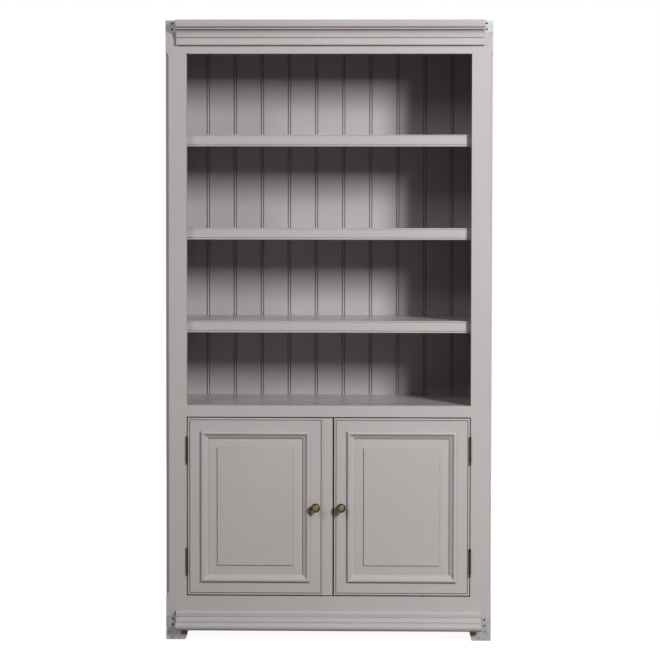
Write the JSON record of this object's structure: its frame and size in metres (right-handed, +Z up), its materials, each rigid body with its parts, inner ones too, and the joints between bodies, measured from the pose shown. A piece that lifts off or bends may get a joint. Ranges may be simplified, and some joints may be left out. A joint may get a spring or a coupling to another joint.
{
  "type": "bookcase with cupboard",
  "caption": "Tall painted bookcase: three loose shelves before a beaded board back, over a cupboard with two hinged panel doors, crown and plinth mouldings in front.",
  "frame": {"origin": "on the floor, in the middle of the outer box", "axes": "+Z up, the front with the doors faces -Y, +X to the right as seen from the front"},
  "size_m": [1.1, 0.5, 2.092],
  "materials": {
    "grey_paint": "warm grey satin paint on timber",
    "galvanised_steel": "galvanised, spangled, dull",
    "screw_steel": "zinc-plated",
    "antique_brass": "antiqued, dark in the hollows",
    "catch_case": "brown moulded plastic"
  },
  "bodies": {
    "cabinet": {"back_boards": "grey_paint", "base_board": "grey_paint", "bottom_rail": "grey_paint", "catch_screws": "screw_steel", "corner_plate_base_left": "galvanised_steel", "corner_plate_base_right": "galvanised_steel", "corner_plate_top_left": "galvanised_steel", "corner_plate_top_right": "galvanised_steel", "crown_moulding": "grey_paint", "cupboard_shelf": "grey_paint", "door_catches": "catch_case", "foot_plate_left": "galvanised_steel", "foot_plate_right": "galvanised_steel", "frame_hinge_leaves_left": "antique_brass", "frame_hinge_leaves_right": "antique_brass", "frame_hinge_screws": "antique_brass", "frieze_rail": "grey_paint", "front_foot_left": "grey_paint", "front_foot_right": "grey_paint", "front_stile_left": "grey_paint", "front_stile_right": "grey_paint", "hinge_pins": "antique_brass", "middle_board": "grey_paint", "middle_rail": "grey_paint", "plate_screws": "screw_steel", "plinth_moulding": "grey_paint", "rear_foot_left": "grey_paint", "rear_foot_right": "grey_paint", "shelf_1": "grey_paint", "shelf_2": "grey_paint", "shelf_3": "grey_paint", "shelf_nosing_1": "grey_paint", "shelf_nosing_2": "grey_paint", "shelf_nosing_3": "grey_paint", "shelf_pins": "screw_steel", "side_panel_left": "grey_paint", "side_panel_right": "grey_paint", "top_board": "grey_paint"},
    "door_left": {"door_left_bottom_rail": "grey_paint", "door_left_catch_plate": "screw_steel", "door_left_hinge_leaves": "antique_brass", "door_left_hinge_stile": "grey_paint", "door_left_knob": "antique_brass", "door_left_meeting_stile": "grey_paint", "door_left_meeting_strip": "grey_paint", "door_left_moulding": "grey_paint", "door_left_panel": "grey_paint", "door_left_screws": "antique_brass", "door_left_top_rail": "grey_paint"},
    "door_right": {"door_right_bottom_rail": "grey_paint", "door_right_catch_plate": "screw_steel", "door_right_hinge_leaves": "antique_brass", "door_right_hinge_stile": "grey_paint", "door_right_knob": "antique_brass", "door_right_meeting_stile": "grey_paint", "door_right_moulding": "grey_paint", "door_right_panel": "grey_paint", "door_right_screws": "antique_brass", "door_right_top_rail": "grey_paint"}
  },
  "joints": [
    {"name": "door_left_hinge", "type": "hinge", "parent": "cabinet", "child": "door_left", "pos_m": [-0.4785, -0.204, 0.453], "axis": [0, 0, -1], "range_deg": [0, 170]},
    {"name": "door_right_hinge", "type": "hinge", "parent": "cabinet", "child": "door_right", "pos_m": [0.4785, -0.204, 0.453], "axis": [0, 0, 1], "range_deg": [0, 170]}
  ]
}
